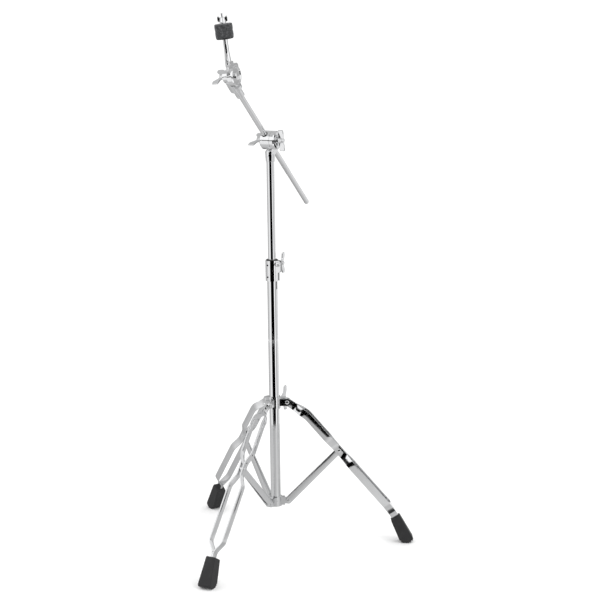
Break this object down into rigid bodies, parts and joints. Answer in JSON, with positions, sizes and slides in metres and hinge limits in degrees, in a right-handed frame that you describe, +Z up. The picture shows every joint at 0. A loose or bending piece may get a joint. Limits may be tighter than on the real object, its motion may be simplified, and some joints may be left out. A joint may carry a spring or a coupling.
{
  "type": "cymbal boom stand",
  "caption": "Folding cymbal stand: double-braced strap tripod with rubber feet, sliding upper tube, tilting and sliding boom arm, and a cymbal tilter with felts under a wing nut.",
  "frame": {"origin": "point on the floor under the centre line of the base tube", "axes": "+Z up along the base tube, +X along the leg that points right, +Y away from the front leg"},
  "size_m": [0.5473, 0.632, 1.3658],
  "materials": {
    "chrome": "polished",
    "strap_chrome": "bright plated, slightly rolled",
    "dark_steel": "blackened",
    "rubber": "moulded",
    "felt": "pressed wool felt",
    "black_plastic": "moulded"
  },
  "bodies": {
    "base": {"base_tube": "chrome", "base_tube_plug": "black_plastic", "brace_collar": "chrome", "brace_collar_pin": "chrome", "brace_pivot_rivets": "chrome", "height_clamp": "chrome", "height_clamp_rivets": "dark_steel", "height_clamp_bolt": "chrome", "height_clamp_washer": "chrome"},
    "leg_collar": {"leg_collar": "chrome", "leg_pivot_rivets": "chrome"},
    "collar_screw": {"collar_wing_screw": "chrome"},
    "height_nut": {"height_wing_nut": "chrome"},
    "bushing": {"tube_bushing": "black_plastic"},
    "upper_tube": {"upper_tube": "chrome", "upper_tube_plug": "black_plastic", "boom_base": "chrome", "boom_base_pin": "chrome"},
    "boom_hub": {"boom_hub": "chrome", "boom_eyebolt": "chrome", "clutch_washer": "black_plastic", "boom_nut_washer": "chrome"},
    "boom_nut": {"boom_wing_nut": "chrome"},
    "boom_lock": {"boom_lock_screw": "chrome"},
    "boom_liner": {"boom_liner": "black_plastic"},
    "boom_rod": {"boom_rod": "chrome", "tilter_base": "chrome", "tilter_set_screw": "chrome", "tilter_washer": "black_plastic"},
    "tilter_head": {"tilter_head": "chrome", "tilter_bolt": "chrome", "cymbal_rod": "chrome", "cup_washer": "black_plastic", "cymbal_sleeve": "black_plastic", "lower_felt": "felt", "upper_felt": "felt", "top_washer": "chrome"},
    "tilter_nut": {"tilter_wing_nut": "chrome"},
    "cymbal_nut": {"cymbal_wing_nut": "chrome"},
    "right_leg": {"right_leg_strap_left": "strap_chrome", "right_leg_strap_right": "strap_chrome", "right_waist_rivet": "chrome", "right_foot": "rubber", "right_foot_pin": "chrome"},
    "right_brace": {"right_brace_strap_left": "strap_chrome", "right_brace_strap_right": "strap_chrome"},
    "back_leg": {"back_leg_strap_left": "strap_chrome", "back_leg_strap_right": "strap_chrome", "back_waist_rivet": "chrome", "back_foot": "rubber", "back_foot_pin": "chrome"},
    "back_brace": {"back_brace_strap_left": "strap_chrome", "back_brace_strap_right": "strap_chrome"},
    "front_leg": {"front_leg_strap_left": "strap_chrome", "front_leg_strap_right": "strap_chrome", "front_waist_rivet": "chrome", "front_foot": "rubber", "front_foot_pin": "chrome"},
    "front_brace": {"front_brace_strap_left": "strap_chrome", "front_brace_strap_right": "strap_chrome"}
  },
  "joints": [
    {"name": "tripod_fold", "type": "hinge", "parent": "base", "child": "right_brace", "pos_m": [0.0326, 0, 0.118], "axis": [0, -1, 0], "range_deg": [-6, 37]},
    {"name": "right_waist_fold", "type": "hinge", "parent": "right_brace", "child": "right_leg", "pos_m": [0.1644, 0, 0.2498], "axis": [0, -1, 0], "range_deg": [-74, 12]},
    {"name": "leg_collar_fold", "type": "hinge", "parent": "right_leg", "child": "leg_collar", "pos_m": [0.0326, 0, 0.38161], "axis": [0, -1, 0], "range_deg": [-6, 37]},
    {"name": "back_leg_fold", "type": "hinge", "parent": "leg_collar", "child": "back_leg", "pos_m": [-0.0163, 0.02823, 0.38161], "axis": [0.866, 0.5, 0], "range_deg": [-37, 6]},
    {"name": "back_brace_fold", "type": "hinge", "parent": "base", "child": "back_brace", "pos_m": [-0.0163, 0.02823, 0.118], "axis": [0.866, 0.5, 0], "range_deg": [-6, 37]},
    {"name": "front_leg_fold", "type": "hinge", "parent": "leg_collar", "child": "front_leg", "pos_m": [-0.0163, -0.02823, 0.38161], "axis": [-0.866, 0.5, 0], "range_deg": [-37, 6]},
    {"name": "front_brace_fold", "type": "hinge", "parent": "base", "child": "front_brace", "pos_m": [-0.0163, -0.02823, 0.118], "axis": [-0.866, 0.5, 0], "range_deg": [-6, 37]},
    {"name": "collar_screw_spin", "type": "hinge", "parent": "leg_collar", "child": "collar_screw", "pos_m": [0, 0, 0.38361], "axis": [0.6428, 0.766, 0], "continuous": true},
    {"name": "height_nut_spin", "type": "hinge", "parent": "base", "child": "height_nut", "pos_m": [0.01732, -0.0096, 0.741], "axis": [0.4848, 0.8746, 0], "continuous": true},
    {"name": "upper_tube_turn", "type": "hinge", "parent": "base", "child": "bushing", "pos_m": [0, 0, 0.75], "axis": [0, 0, 1], "continuous": true},
    {"name": "height_slide", "type": "slide", "parent": "bushing", "child": "upper_tube", "axis": [0, 0, 1], "range_m": [-0.245, 0.13]},
    {"name": "boom_tilt", "type": "hinge", "parent": "upper_tube", "child": "boom_hub", "pos_m": [0, 0, 1.051], "axis": [0.866, -0.5, 0], "range_deg": [-7, 75]},
    {"name": "boom_nut_spin", "type": "hinge", "parent": "boom_hub", "child": "boom_nut", "pos_m": [0, 0, 1.051], "axis": [0.866, -0.5, 0], "continuous": true},
    {"name": "boom_lock_spin", "type": "hinge", "parent": "boom_hub", "child": "boom_lock", "pos_m": [0, 0, 1.051], "axis": [-0.866, 0.5, 0], "continuous": true},
    {"name": "boom_roll", "type": "hinge", "parent": "boom_hub", "child": "boom_liner", "pos_m": [-0.00459, 0.00265, 1.051], "axis": [-0.3657, -0.6334, 0.682], "continuous": true},
    {"name": "boom_slide", "type": "slide", "parent": "boom_liner", "child": "boom_rod", "axis": [-0.3657, -0.6334, 0.682], "range_m": [-0.14, 0.2]},
    {"name": "cymbal_tilt", "type": "hinge", "parent": "boom_rod", "child": "tilter_head", "pos_m": [-0.09455, -0.15316, 1.21877], "axis": [0.8991, -0.4299, 0.0828], "range_deg": [-75, 150]},
    {"name": "tilter_nut_spin", "type": "hinge", "parent": "tilter_head", "child": "tilter_nut", "pos_m": [-0.09455, -0.15316, 1.21877], "axis": [-0.8991, 0.4299, -0.0828], "continuous": true},
    {"name": "cymbal_nut_spin", "type": "hinge", "parent": "tilter_head", "child": "cymbal_nut", "pos_m": [-0.09095, -0.15488, 1.2191], "axis": [-0.1129, -0.0449, 0.9926], "continuous": true}
  ],
  "couplings": [
    {"joint": "right_waist_fold", "follows": "tripod_fold", "ratio": -2},
    {"joint": "leg_collar_fold", "follows": "tripod_fold", "ratio": 1},
    {"joint": "back_leg_fold", "follows": "tripod_fold", "ratio": -1},
    {"joint": "front_leg_fold", "follows": "tripod_fold", "ratio": -1},
    {"joint": "back_brace_fold", "follows": "tripod_fold", "ratio": 1},
    {"joint": "front_brace_fold", "follows": "tripod_fold", "ratio": 1}
  ]
}
